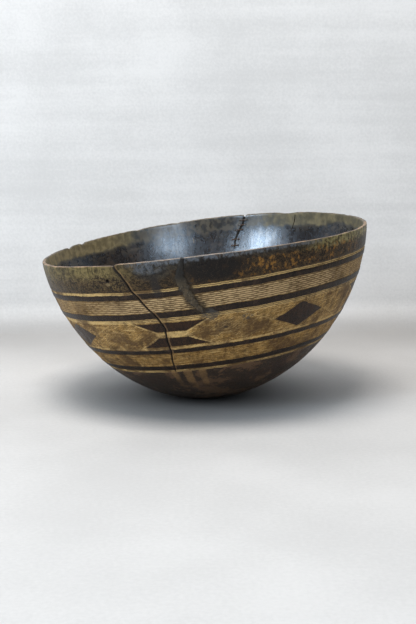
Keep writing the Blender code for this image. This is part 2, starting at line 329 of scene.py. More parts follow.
def wear_shell(bm):
    side = bm.verts.layers.float["inside"]
    for vert in bm.verts:
        co, inside = vert.co.copy(), vert[side]
        azimuth, height = math.degrees(math.atan2(co.y, co.x)), co.z / DEPTH
        outward = vert.normal if inside < 0.5 else -vert.normal
        if inside > 0.99:
            co.x += CAVITY_SHIFT * min(1.0, (1 - co.z / TOP) / 0.2)
            co += outward * (noise.noise(co * 34.0) * 0.00035 + noise.noise(co * 75.0) * 0.00012)
        elif inside < 0.01:
            co += outward * (noise.noise(co * 22.0) * 0.00022 + noise.noise(co * 70.0) * 0.00010)
            # the rim is swollen and rubbed between the open crack and the pitch
            co += outward * 0.0011 * bump(azimuth, -103.0, 7.0) * bump(height, 0.935, 0.045)
        near_lip = clipped((height - 0.955) / 0.045) ** 2
        if near_lip > 0.0:
            drop = noise.noise(Vector((azimuth * 0.13, 3.0, 0.0))) * 0.0005
            drop += noise.noise(Vector((azimuth * 0.6, 8.0, 0.0))) * 0.0003
            for middle, depth, half in LIP_BITES:
                drop += depth * bump(azimuth, middle, half)
            co.z -= max(drop, -0.0004) * near_lip
        # the wood left of the open crack has dropped and come in
        crack = crack_azimuth(OPEN_CRACK, height)
        if -150.0 < azimuth < crack:
            slack = bump(azimuth, crack, 9.0) * clipped((height - 0.55) / 0.45) ** 1.5
            co.z -= 0.0012 * slack
            co.x -= 0.0007 * slack * math.cos(math.radians(azimuth))
            co.y -= 0.0007 * slack * math.sin(math.radians(azimuth))
        vert.co = place(co)
    # the wear under the base is a true flat
    for vert in bm.verts:
        vert.co.z = max(vert.co.z, bowl_low.z)


wear_shell(shell)
print("shell stands from", round(min(v.co.z for v in shell.verts), 5),
      "to", round(max(v.co.z for v in shell.verts), 5))

# %% [markdown]
# ## Helpers for the pieces
#
# Cracks, fillers and staples are all one outline carried along a path. Starting from one face and
# extruding it from station to station keeps every such piece closed, which a loose tube would not
# be.

# %% Carry an outline along a path
def sweep(bm, rings):
    """Extrude a face through a list of rings of points, all with the same number of points."""
    face = bm.faces.new([bm.verts.new(p) for p in rings[0]])
    for i, ring in enumerate(rings[1:], start=1):
        order = {tuple(v.co): ring[k] for k, v in enumerate(face.verts)}
        grown = bmesh.ops.extrude_face_region(bm, geom=[face])["geom"]
        if i > 1:
            bmesh.ops.delete(bm, geom=[face], context='FACES_ONLY')
        for vert in (g for g in grown if isinstance(g, bmesh.types.BMVert)):
            vert.co = order[tuple(vert.co)]
        face = next(g for g in grown if isinstance(g, bmesh.types.BMFace))
    bmesh.ops.recalc_face_normals(bm, faces=bm.faces)


def rings_down_wall(route, section, above=0.0, below=0.0, wobble=0.0):
    """Rings for a route down the wall; section gives pairs of (sideways, outward)."""
    frames = [wall_frame(azimuth, min(height, 0.992)) for azimuth, height, _ in route]
    centres = [frame[0].copy() for frame in frames]
    centres[0] += (centres[0] - centres[1]).normalized() * above
    centres[-1] += (centres[-1] - centres[-2]).normalized() * below
    rings = []
    for i, (_, height, width) in enumerate(route):
        outward = frames[i][1]
        run = centres[min(i + 1, len(route) - 1)] - centres[max(i - 1, 0)]
        side = run.cross(outward).normalized()
        shift = side * noise.noise(Vector((i * 0.71, height * 40.0, 2.0))) * wobble
        rings.append([centres[i] + shift + side * s + outward * n
                      for s, n in section(width, wall_thickness(height * DEPTH))])
    return rings


def finer(route, count):
    """The same route with more stations on it."""
    fine = []
    for (a0, h0, w0), (a1, h1, w1) in zip(route, route[1:]):
        for k in range(count):
            t = k / count
            fine.append((a0 + (a1 - a0) * t, h0 + (h1 - h0) * t, w0 + (w1 - w0) * t))
    return fine + [route[-1]]


def add_object(name, bm, materials=()):
    mesh = bpy.data.meshes.new(name)
    bm.to_mesh(mesh)
    bm.free()
    obj = bpy.data.objects.new(name, mesh)
    bpy.context.scene.collection.objects.link(obj)
    for material in materials:
        mesh.materials.append(material)
    return obj

# %% [markdown]
# ## Cutting the cracks, the hole and the slots
#
# A crack is a gap with real depth: light falls into it and its edge casts a line. So each one is a
# thin curved blade, swept along the crack's path right through the wall, and one Boolean takes all
# the blades and drills out of the shell. The faces that the cut leaves take the blade's own slot,
# so raw wood shows inside the crack.

# %% Sweep the blades, drill the holes, cut once
def blade(width, thickness, top=0.004):
    """A blade right through the wall."""
    half, bottom = width / 2, -thickness - 0.004
    return ((-half, top), (half, top), (half, bottom), (-half, bottom))


def groove(width, thickness):
    """A blade that opens the inside face only."""
    return blade(width, thickness, top=-thickness + 0.0018)


def staple_feet(height):
    point, outward, up = wall_frame(crack_azimuth(REAR_MEND, height), height)
    side = up.cross(outward).normalized()
    return [point + side * STAPLE_SPAN / 2 * way for way in (-1, 1)], outward


def drill(bm, point, direction, diameter, sides, length=0.03):
    turn = Vector((0, 0, 1)).rotation_difference(direction).to_matrix().to_4x4()
    bmesh.ops.create_cone(bm, cap_ends=True, segments=sides, radius1=diameter / 2,
                          radius2=diameter / 2, depth=length,
                          matrix=Matrix.Translation(point) @ turn)


def cut_shell(bm, skins):
    cutters = bmesh.new()
    sweep(cutters, rings_down_wall(finer(OPEN_CRACK, 3), blade, above=0.006, wobble=0.0006))
    for route in ([(a, h, FRONT_SLOT) for a, h, _ in FRONT_MEND], REAR_MEND):
        sweep(cutters, rings_down_wall(route, blade, above=0.008, below=FIT_GAP))
    sweep(cutters, rings_down_wall(finer(SHORT_CRACK, 3), groove, wobble=0.0006))
    point, outward, _ = wall_frame(*DRILLED_HOLE)
    drill(cutters, point, outward, HOLE_DIAMETER, 28)
    for height in STAPLE_HEIGHTS:
        feet, outward = staple_feet(height)
        for foot in feet:
            drill(cutters, foot, outward, LEG_HOLE, 12)
    for azimuth, height in WORM_PITS:
        point, outward, _ = wall_frame(azimuth, height)
        drill(cutters, point, outward, WORM_PIT, 10, length=0.004)
    bmesh.ops.recalc_face_normals(cutters, faces=cutters.faces)
    for face in cutters.faces:
        face.material_index = 3
    tool = add_object("crack_blades", cutters, skins)
    body = add_object("bowl_shell", bm, skins)
    boolean = body.modifiers.new("cracks", 'BOOLEAN')
    boolean.operation, boolean.solver, boolean.object = 'DIFFERENCE', 'EXACT', tool
    cut_body = body.evaluated_get(bpy.context.evaluated_depsgraph_get())
    cut_mesh = bpy.data.meshes.new_from_object(cut_body)
    body.modifiers.clear()
    body.data = cut_mesh
    cut_mesh.name = "bowl_shell"
    bpy.data.objects.remove(tool, do_unlink=True)
    return body


SKINS = [bpy.data.materials.new(name) for name in
         ("stained_outside", "greased_inside", "rubbed_lip", "raw_crack_wood")]
bowl = cut_shell(shell, SKINS)
bowl.data.polygons.foreach_set("use_smooth", [True] * len(bowl.data.polygons))
bowl.data.set_sharp_from_angle(angle=math.radians(38))
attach(bowl, "root")
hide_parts("bowl_body")
print("bowl:", sum(len(p.vertices) - 2 for p in bowl.data.polygons), "triangles, slots:",
      [m.name for m in bowl.data.materials])

# %% [markdown]
# ## Pitch in the two closed cracks
#
# Hot pitch was pressed into the cracks. At the front it was left standing proud, as a lumpy bead
# with soft edges; at the back it was wiped nearly flush. Each is one swept piece with a stem in
# the slot, divided finely; the front bead is then pushed about by a little noise so that it looks
# poured and thumbed, and not extruded.

# %% Model the two fillers
def bead_section(width, thickness):
    half, stem = max(width / 2, FRONT_SLOT / 2 + 0.0002), FRONT_SLOT / 2 - FIT_GAP
    turns = [math.pi * k / 10 for k in range(1, 10)]
    crown = [(half * math.cos(t), FIT_GAP + BEAD_HEIGHT * math.sin(t) ** 0.8) for t in turns]
    return [(-half, FIT_GAP * 0.6), (-stem, FIT_GAP * 0.6), (-stem, -thickness + FIT_GAP),
            (stem, -thickness + FIT_GAP), (stem, FIT_GAP * 0.6), (half, FIT_GAP * 0.6)] + crown


def plug_section(width, thickness):
    half = width / 2 - FIT_GAP
    return ((-half, -FIT_GAP), (0.0, -FIT_GAP), (half, -FIT_GAP), (half, -thickness + FIT_GAP),
            (0.0, -thickness + FIT_GAP * 0.4), (-half, -thickness + FIT_GAP))


def thumb(bm, axis):
    """Push the outer face of a filler about, but leave the stem in its slot alone."""
    reach = max((v.co - axis).length for v in bm.verts)
    for vert in bm.verts:
        lump = noise.noise(vert.co * 95.0) * 0.0011 + noise.noise(vert.co * 330.0) * 0.0005
        outer = clipped(((vert.co - axis).length - reach + 0.012) / 0.008)
        vert.co += vert.normal * lump * outer


def make_filler(name, node, route, section, proud):
    bm = bmesh.new()
    uneven = [(a, h, width * (1.0 + 0.45 * proud * noise.noise(Vector((h * 55.0, 5.0, 1.0)))))
              for a, h, width in finer(route, 9)]
    sweep(bm, rings_down_wall(uneven, section, above=0.0014 * proud))
    bm.normal_update()
    if proud:
        thumb(bm, place(Vector((0.0, 0.0, 0.7 * DEPTH))))
    for face in bm.faces:
        face.smooth = True
    piece = add_object(name, bm)
    piece.data.set_sharp_from_angle(angle=math.radians(60))
    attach(piece, "root")
    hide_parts(node)
    print(name, [round(d * 1000, 1) for d in piece.dimensions], "mm")
    return piece


front_pitch = make_filler("front_pitch_bead", "front_crack_filler", FRONT_MEND, bead_section, True)
rear_pitch = make_filler("rear_pitch_plug", "rear_crack_filler", REAR_MEND, plug_section, False)

# %% [markdown]
# ## Five wire staples
#
# Each staple is a piece of iron wire: a bar across the crack on the inside, two legs through
# drilled holes, and the ends bent flat against the outside. A round outline is carried along the
# bent path and squeezed a little at the bar and the tails, as a hammer leaves it.

# %% Bend the staples
def wire_ring(centre, along, flat_way, squeeze):
    across = along.cross(flat_way).normalized()
    up = across.cross(along).normalized()
    radius = STAPLE_WIRE / 2
    return [centre + across * math.cos(math.pi * k / 6) * radius * (1.0 + 0.16 * squeeze)
            + up * math.sin(math.pi * k / 6) * radius * (1.0 - 0.20 * squeeze) for k in range(12)]


def make_staple(number, height):
    feet, outward = staple_feet(height)
    across = (feet[1] - feet[0]).normalized()
    inside = -wall_thickness(height * DEPTH) - STAPLE_WIRE / 2 - 2 * FIT_GAP
    outside, corner = STAPLE_WIRE / 2 + 2 * FIT_GAP, 0.0009

    def half(foot, inward):
        points = [foot + inward * STAPLE_TAIL + outward * outside,
                  foot + inward * (STAPLE_TAIL + corner) / 2 + outward * outside]
        turns = [math.pi / 2 * k / 5 for k in range(6)]
        points += [foot + inward * corner * (1 - math.sin(turn))
                   + outward * (outside - corner * (1 - math.cos(turn))) for turn in turns]
        points += [foot + inward * corner * (1 - math.cos(turn))
                   + outward * (inside + corner * (1 - math.sin(turn))) for turn in turns]
        return points

    left, right = half(feet[0], across), half(feet[1], -across)[::-1]
    bar = [left[-1].lerp(right[0], k / 6) for k in range(1, 6)]
    path = left + bar + right
    depth = across.cross(outward)
    rings = []
    for i, point in enumerate(path):
        along = (path[min(i + 1, len(path) - 1)] - path[max(i - 1, 0)]).normalized()
        flat_way = along.cross(depth).normalized()
        on_leg = abs(along.dot(outward))
        rings.append(wire_ring(point, along, flat_way, 1.0 - on_leg))
    bm = bmesh.new()
    sweep(bm, rings)
    bmesh.ops.bevel(bm, geom=[e for f in bm.faces if len(f.verts) > 4 for e in f.edges],
                    offset=0.0002, offset_type='OFFSET', affect='EDGES', segments=2, profile=0.5,
                    material=-1)
    for face in bm.faces:
        face.smooth = True
    piece = add_object(f"wire_staple_{number}", bm)
    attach(piece, "root")
    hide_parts(f"staple_{number}")
    return piece


staples = [make_staple(n, height) for n, height in enumerate(STAPLE_HEIGHTS, start=1)]
print(len(staples), "staples,", sum(len(s.data.polygons) for s in staples), "faces together")

# %% [markdown]
# ## Wiring a finish
#
# A finish is a small graph of nodes. Writing each node and link in full would hide the idea, so
# what comes out of a node is kept as a "Flow". Flows add and multiply like numbers, which puts
# down the math nodes. "rise" is a soft step, "fall" its opposite, "within" a soft band, "swing"
# lets a texture push both ways, and "layers" lays coats of colour over each other.

# %% A helper to place and wire nodes
class Flow:
    """What comes out of a node of a tree."""

    def __init__(self, socket):
        self.socket, self.tree = socket, socket.id_data

    def calc(self, operation, *others):
        return put(self.tree, "ShaderNodeMath", dict(enumerate((self, *others))),
                   operation=operation)

    def __add__(self, other):
        return self.calc('ADD', other)

    def __sub__(self, other):
        return self.calc('SUBTRACT', other)

    def __mul__(self, other):
        return self.calc('MULTIPLY', other)

    def __rsub__(self, other):
        return put(self.tree, "ShaderNodeMath", {0: other, 1: self}, operation='SUBTRACT')

    def flip(self):
        return put(self.tree, "ShaderNodeMath", {0: 1.0, 1: self}, operation='SUBTRACT',
                   use_clamp=True)

    def rise(self, edge, soft):
        return put(self.tree, "ShaderNodeMapRange", {"Value": self, "From Min": edge - soft / 2,
                                                     "From Max": edge + soft / 2},
                   interpolation_type='SMOOTHSTEP')

    def fall(self, edge, soft):
        return self.rise(edge, soft).flip()

    def within(self, low, high, soft):
        return self.rise(low, soft) * self.fall(high, soft)

    def swing(self, reach):
        return (self - 0.5) * reach

    def noise(self, scale, detail=3.0, rough=0.55, distort=0.0):
        return put(self.tree, "ShaderNodeTexNoise", {
            "Vector": self, "Scale": scale, "Detail": detail, "Roughness": rough,
            "Distortion": distort})

    def stretch(self, x, y, z):
        return put(self.tree, "ShaderNodeMapping", {"Vector": self, "Scale": (x, y, z)})

    def parts(self):
        first = put(self.tree, "ShaderNodeSeparateXYZ", {0: self})
        return [Flow(socket) for socket in first.socket.node.outputs]

    def through(self, group, **values):
        """Send a vector through a shared group, and give back what comes out, by name."""
        node = self.tree.nodes.new("ShaderNodeGroup")
        node.node_tree = group
        for name, value in dict(values, Vector=self).items():
            feed(node.inputs[name], value)
        return {socket.name: Flow(socket) for socket in node.outputs}


def feed(socket, value):
    if isinstance(value, Flow):
        value.tree.links.new(value.socket, socket)
    else:
        socket.default_value = (*value, 1.0) if socket.type == 'RGBA' else value


def put(tree, kind, feeds=None, out=0, **settings):
    """Place a node, set it, and feed its sockets with numbers or with flows."""
    node = tree.nodes.new(kind)
    for name, value in settings.items():
        setattr(node, name, value)
    for key, value in (feeds or {}).items():
        feed(node.inputs[key], value)
    return Flow(node.outputs[out])


def any_of(first, *others):
    for mask in others:
        first = first.calc('MAXIMUM', mask)
    return first


def either(share, first, second):
    return put(share.tree, "ShaderNodeMix", {0: share, 2: first, 3: second})


def layers(colour, *coats):
    """Lay coats over a colour, each given as its share and its own colour."""
    for share, over in coats:
        colour = put(share.tree, "ShaderNodeMix", {0: share, 6: colour, 7: over}, out=2,
                     data_type='RGBA')
    return colour


def spots(wall, *circles):
    """Soft round spots on the wall: each has a place, a reach and perhaps a strength."""
    masks = []
    for at, reach, *strength in circles:
        a, h = ((way - middle) * (1.0 / wide) for way, middle, wide in zip(wall, at, reach))
        mask = (a * a + h * h).calc('SQRT').fall(0.72, 0.56)
        masks.append(mask * strength[0] if strength else mask)
    return any_of(*masks)


# %% [markdown]
# ## Effects shared by several finishes
#
# Wood fibre, blotchy wear and fine scratches show on the outside, the inside and the lip alike,
# only stronger or weaker. Each is a node group, built once, with named values, so the three skins
# of the bowl stay relatives of each other.

# %% Build the shared groups
def new_group(name, values, outputs):
    tree = bpy.data.node_groups.new(name, 'ShaderNodeTree')
    tree.interface.new_socket("Vector", in_out='INPUT', socket_type='NodeSocketVector')
    for label, value in values.items():
        socket = tree.interface.new_socket(label, in_out='INPUT', socket_type='NodeSocketFloat')
        socket.default_value = value
    for label in outputs:
        tree.interface.new_socket(label, in_out='OUTPUT', socket_type='NodeSocketFloat')
    come = {socket.name: Flow(socket) for socket in tree.nodes.new("NodeGroupInput").outputs}
    return tree, come, tree.nodes.new("NodeGroupOutput").inputs


def build_fibre():
    """Long fibres up the wall, and short dark pores between them."""
    tree, come, go = new_group("wood_fibre", {"Coarse": 1.0}, ["Streaks", "Pores"])
    scaled = put(tree, "ShaderNodeVectorMath", {0: come["Vector"], 3: come["Coarse"]},
                 operation='SCALE')
    broad = scaled.stretch(260.0, 260.0, 16.0).noise(1.0, 4.0, 0.6, 0.4)
    thin = scaled.stretch(1100.0, 1100.0, 60.0).noise(1.0, 2.0, 0.6)
    pores = scaled.stretch(1500.0, 1500.0, 260.0).noise(1.0, 1.0, 0.5)
    feed(go["Streaks"], (broad * 0.65 + thin * 0.35).rise(0.5, 0.34))
    feed(go["Pores"], pores.rise(0.68, 0.12))
    return tree


def build_blotches():
    """Wear that comes in patches: broad islands with ragged edges."""
    tree, come, go = new_group("blotchy_wear", {"Size": 30.0, "Amount": 0.5}, ["Broad", "Ragged"])
    broad = come["Vector"].noise(come["Size"], 2.0, 0.5, 0.3)
    fine = come["Vector"].noise(come["Size"] * 5.5, 5.0, 0.65, 0.6)
    feed(go["Broad"], broad)
    level = broad * 0.55 + fine * 0.45 - (0.78 - come["Amount"] * 0.56)
    feed(go["Ragged"], level.rise(0.0, 0.10))
    return tree


def build_scratches():
    """Hair-thin scratches in three directions, broken up so that few run far."""
    tree, come, go = new_group("hair_scratches", {}, ["Lines"])
    lines = []
    for turn, long_way, seed in ((0.5, 26.0, 0.3), (1.35, 34.0, 4.7), (-0.8, 22.0, 9.1)):
        turned = put(tree, "ShaderNodeMapping", {"Vector": come["Vector"], "Location": (seed,) * 3,
                                                 "Rotation": (turn, turn * 0.7, seed)})
        hairs = turned.stretch(2400.0, long_way, 1700.0).noise(1.0, 0.0, 0.5)
        lines.append(hairs.rise(0.775, 0.06))
    feed(go["Lines"], any_of(*lines))
    return tree


FIBRE, BLOTCHES, SCRATCHES = build_fibre(), build_blotches(), build_scratches()


def start_finish(material):
    """Clear a material and give back its Principled shader and its Object coordinates."""
    material.use_nodes = True
    tree = material.node_tree
    tree.nodes.clear()
    shader, end = (tree.nodes.new(kind) for kind in ("ShaderNodeBsdfPrincipled",
                                                     "ShaderNodeOutputMaterial"))
    shader.label = material.name
    tree.links.new(shader.outputs[0], end.inputs["Surface"])
    return shader, put(tree, "ShaderNodeTexCoord", out="Object")


def end_finish(shader, relief, **values):
    """Feed the shader by socket name, and raise its surface by a relief in millimetres."""
    for name, value in values.items():
        feed(shader.inputs[name.replace("_", " ")], value)
    feed(shader.inputs["Normal"], put(relief.tree, "ShaderNodeBump", {
        "Height": relief, "Distance": 0.001, "Strength": 1.0}))
    print(shader.label, "finish:", len(shader.id_data.nodes), "nodes")


# %% [markdown]
# ## The outside: a scraped pattern
#
# The outside was stained and then scraped, so its finish starts with masks that say where the
# light wood shows. They come from the maps: bands are ranges of height, a lozenge is where
# sideways and upward distance add up to less than one, and a butterfly is two wedges with a bright
# bar between them. A little noise on the height makes every edge hand-cut. A curve node follows
# the crack and the pitch down the wall, so that their edges can be worn and grimed.

# %% Masks for the scraped pattern
CURVE_SPAN = 40.0                           # degrees between the curve node's 0 and 1
EDGE, BAND_EDGE = 0.004, 0.0035             # how soft the cut edges are, in shares of the depth
LINES_FROM, HAIRLINE_STEP = 0.6429, 0.0088  # the fine lines above the motifs
ROPE_FROM, ROPE_ROW, ROPE_TWIST = 0.7012, 0.0114, 3.4


def map_of(co):
    """Direction and height on the wall, and degrees from the nearest motif and its kind."""
    carving, motif = (put(co.tree, "ShaderNodeUVMap", uv_map=name).parts()
                      for name in ("carving", "motif"))
    return carving[0], carving[1], motif[0], motif[1]


def beside_route(azimuth, height, route, start=-125.0):
    """Degrees to the right of a route that runs down the wall."""
    node = azimuth.tree.nodes.new("ShaderNodeFloatCurve")
    curve = node.mapping.curves[0]
    stations = sorted((h, (a - start) / CURVE_SPAN) for a, h, _ in route)
    while len(curve.points) < len(stations):
        curve.points.new(0.5, 0.5)
    for point, station in zip(curve.points, stations):
        point.location, point.handle_type = station, 'VECTOR'
    node.mapping.update()
    feed(node.inputs["Value"], height)
    return azimuth - (Flow(node.outputs[0]) * CURVE_SPAN + start)


def shaken(co, value, coarse, fine):
    return value + co.noise(42.0, 2.0).swing(coarse) + co.noise(380.0, 3.0).swing(fine)


def scraped_pattern(co, azimuth, height, off, kind):
    """Masks of the outside: scraped wood, motifs, bright lines, rope rows and hatching."""
    h = shaken(co, height, 0.010, 0.008)
    side = shaken(co, off.calc('ABSOLUTE'), 0.9, 0.7)
    bands, lines = (any_of(*[h.within(low, high, BAND_EDGE) for low, high in edges])
                    for edges in (BROAD_BANDS, THIN_LINES))
    q = (h - MOTIF_MIDDLE).calc('ABSOLUTE')
    lozenge_at = side * (1 / 11.5) + q * (1 / 0.073)
    lozenge = lozenge_at.fall(1.0, 0.05) * kind.flip()
    wing_edge = side - (q * 133.0 + 3.17)       # degrees outside the slanted edge
    wings = q.within(0.0190, 0.0745, EDGE) * wing_edge.fall(0.0, 0.5) * kind
    bar = q.fall(0.0165, EDGE) * side.fall(6.2, 1.5) * kind
    flare = wing_edge.within(0.15, 1.5, 0.8) * q.within(0.012, 0.083, EDGE) * kind
    cross = (q - (side - 11.5) * 0.0065).calc('ABSOLUTE')
    cross = cross.fall(0.0032, 0.003) * side.rise(11.6, 1.0) * kind.flip()
    upper, lower = h.within(LINES_FROM, 0.6641, EDGE), h.within(0.4690, 0.4800, EDGE)
    fine_lines, motifs = any_of(upper, lines), any_of(lozenge, wings)
    # rope rows: cells that change sides from row to row, like a basket
    around = (shaken(co, azimuth, 2.4, 2.4) * (2 * math.pi / ROPE_TWIST)).calc('SINE')
    row_at = shaken(co, height, 0.004, 0.002) - (around * 0.0006 + ROPE_FROM)
    rows = (row_at * (math.pi / ROPE_ROW)).calc('SINE')
    cell = rows.calc('ABSOLUTE') + around * rows * 0.30
    rope = (cell - co.noise(60.0, 2.0).swing(0.9)).rise(0.60, 0.55)
    rope_zone = h.within(0.7030, 0.7840, EDGE)
    # hatching runs beside the motifs' slanted edges, and slants the other way in the low band
    low_band = h.within(*BROAD_BANDS[0], EDGE)
    hatch_at = either(low_band, either(kind, lozenge_at * 6.5, wing_edge * 0.55),
                      azimuth * 1.55 + height * 95.0)
    hatch = hatch_at.calc('PINGPONG', 0.5).fall(0.14, 0.16)
    hatch_zone = any_of(low_band, h.within(0.482, 0.640, 0.006) * any_of(motifs, bar).flip())
    hairlines = ((h - LINES_FROM) * (2 * math.pi / HAIRLINE_STEP)).calc('SINE').rise(0.1, 1.0)
    return SimpleNamespace(
        h=h, rim=h.rise(0.8350, EDGE), scraped=any_of(bands, lines) * motifs.flip(),
        motifs=motifs * bands, rope=rope * rope_zone, rope_zone=rope_zone, hatch=hatch * hatch_zone,
        bright=any_of(bar * 0.8, flare * 0.8, cross * 0.4, fine_lines * 0.9, lower * 0.7),
        cut=fine_lines * hairlines.flip() * azimuth.rise(-124.0, 20.0))


# %% [markdown]
# ## The outside: light wood and dark stain
#
# Each colour is a base with coats over it, in the order in which they came about. On the scraped
# wood come the strokes of the scraper, the deep and the pale cuts, then smudges and smoke. On the
# stained skin come rubbed fibres, and towards the base brown speckles where the stain has worn
# off.

# %% Colour the scraped wood and the stained skin
STAIN, STAIN_WORN = (0.008, 0.0055, 0.0045), (0.034, 0.020, 0.012)
WOOD, WOOD_DEEP, WOOD_PALE = (0.440, 0.256, 0.074), (0.105, 0.052, 0.015), (0.76, 0.53, 0.225)


def scraped_wood(t, m):
    level = put(t.co.tree, "ShaderNodeCombineXYZ", {0: t.azimuth * 0.16, 1: t.height * 300.0})
    slanted = put(t.co.tree, "ShaderNodeCombineXYZ", {0: t.azimuth * 0.10 + t.height * 26.0,
                                                      1: t.height * 230.0 - t.azimuth * 1.9})
    strokes, slants = (way.noise(1.0, 3.0, 0.65, 0.4) for way in (level, slanted))
    clear_cut = shaken(t.co, t.azimuth, 14.0, 4.0).within(-130.0, -40.0, 26.0) * 0.55 + 0.45
    smoked = spots(t.wall, ((-128.5, 0.555), (8.0, 0.070)), ((-76.5, 0.530), (9.0, 0.060)),
                   ((-52.0, 0.600), (9.0, 0.050), 0.7))
    chafed = spots(t.wall, ((-84.5, 0.575), (7.5, 0.060))) * t.smudge["Broad"] * 1.3
    return layers(
        WOOD_DEEP, (t.streaks, WOOD),
        (strokes.rise(0.57, 0.09) * 0.68, WOOD_DEEP),
        (strokes.fall(0.42, 0.09) * 0.56, WOOD_PALE),
        (slants.rise(0.59, 0.09) * t.height.within(0.47, 0.66, 0.02) * 0.62, WOOD_PALE),
        (m.bright * 0.62, WOOD_PALE),
        (m.rope_zone * clear_cut * 0.88, (0.058, 0.030, 0.013)),
        (m.rope * clear_cut * 0.92, (0.53, 0.37, 0.185)),
        (m.cut * 0.85, (0.050, 0.028, 0.015)),
        (m.hatch * 0.36, (0.080, 0.043, 0.018)),
        (t.smudge["Ragged"] * m.rope_zone.flip() * 0.68, (0.075, 0.038, 0.015)),
        (t.smudge["Broad"].rise(0.56, 0.16) * 0.48, (0.085, 0.047, 0.020)),
        (t.fleck * 0.42, (0.046, 0.026, 0.013)),
        (smoked * t.specks.rise(0.46, 0.20) * 0.60, (0.100, 0.056, 0.024)),
        (chafed * 0.75, (0.062, 0.045, 0.030)))


def stained_skin(t, m):
    low = m.h.fall(THIN_LINES[0][0], EDGE)
    return layers(
        STAIN, (t.streaks * 0.55, STAIN_WORN),
        (t.fleck * 0.35, (0.080, 0.048, 0.031)),
        (m.motifs * 0.80, layers((0.010, 0.006, 0.0045), (t.streaks, (0.040, 0.018, 0.009)))),
        (low * t.smudge["Ragged"].rise(0.30, 0.7) * 0.80, (0.160, 0.088, 0.044)),
        (low * t.specks.rise(0.54, 0.12) * 0.35, (0.140, 0.082, 0.045)),
        (low * 0.25, (0.070, 0.052, 0.040)))


# %% [markdown]
# ## The outside: the rim
#
# Hands rubbed the rim olive, and below it stays a mottled brown. Orange streaks show right of the
# pitch and yellow ones left of the crack. Between them grease has glazed the wood, one place is
# charred, and along the top a cool bluish sheen is painted into the colour as a painted highlight.

# %% Colour the rim
def rubbed_rim(t, m):
    reach = (m.h.rise(0.912, 0.12) + t.mottle.swing(0.9) + t.specks.swing(1.5)
             + t.smudge["Broad"].swing(1.0))
    handled = spots(t.wall, ((-146.0, 0.95), (40.0, 0.16)), ((-26.0, 0.96), (38.0, 0.12)))
    olive_side = any_of(handled, t.azimuth.within(-170.0, -8.0, 12.0).flip() * 0.9)
    pale_olive = layers((0.215, 0.163, 0.064), (t.azimuth.rise(-58.0, 30.0), (0.330, 0.275, 0.120)))
    olive = layers((0.054, 0.040, 0.015),
                   ((t.mottle * 0.8 + t.streaks * 0.2).rise(0.50, 0.26), pale_olive))
    orange = ((t.drop * 0.7 + t.co.noise(90.0, 2.0) * 0.3).rise(0.548, 0.07)
              * t.azimuth.within(-94.0, -30.0, 16.0) * t.height.within(0.845, 0.945, 0.04))
    yellow = ((t.drop * 0.4 + t.specks * 0.6).rise(0.545, 0.10)
              * t.azimuth.within(-172.0, -114.0, 14.0) * t.height.within(0.850, 0.950, 0.04))
    glaze = spots(t.wall, ((-106.5, 0.945), (9.5, 0.085)), ((-96.0, 0.965), (11.0, 0.055)),
                  ((-66.0, 0.965), (22.0, 0.042), 0.75))
    glaze = glaze * (glaze + t.mottle.swing(1.6)).rise(0.45, 0.5)
    char = spots(t.wall, ((-87.0, 0.912), (15.0, 0.100), 0.95))
    # the band along the rubbed top where the bluish sheen is painted in as a painted highlight
    lip_sheen_band = (t.azimuth.within(-114.0, -50.0, 8.0)
              * (t.height + t.drop.swing(0.06)).rise(0.974, 0.020))
    painted_sheen = any_of(lip_sheen_band, spots(t.wall, ((-108.0, 0.960), (7.0, 0.045), 0.8)))
    glazed = layers((0.009, 0.009, 0.009), (t.mottle.rise(0.5, 0.2), (0.036, 0.034, 0.028)))
    colour = layers(
        (0.008, 0.006, 0.0045),
        ((t.mottle * 0.5 + t.specks * 0.5).rise(0.51, 0.20), (0.076, 0.045, 0.019)),
        (reach.rise(0.72, 0.80) * olive_side * 0.95, olive),
        (orange * 0.62, (0.360, 0.165, 0.032)), (yellow * 0.60, (0.170, 0.118, 0.047)),
        (glaze * 0.72, glazed), (char, (0.007, 0.006, 0.006)),
        # painted highlight: a bluish sheen painted into the colour along the top
        (painted_sheen * t.drop.rise(0.47, 0.22) * 0.44, (0.190, 0.215, 0.250)))
    return colour, glaze, char


# %% [markdown]
# ## The outside: marks over all of it
#
# Some marks run over stain and wood alike. A ladder of light strips goes from the lowest line
# towards the base. The right edge of the open crack is rubbed light and its inside is grimed. The
# pitch has smeared beside the mend and splashed below it, and the drilled hole and a few chips are
# dark.

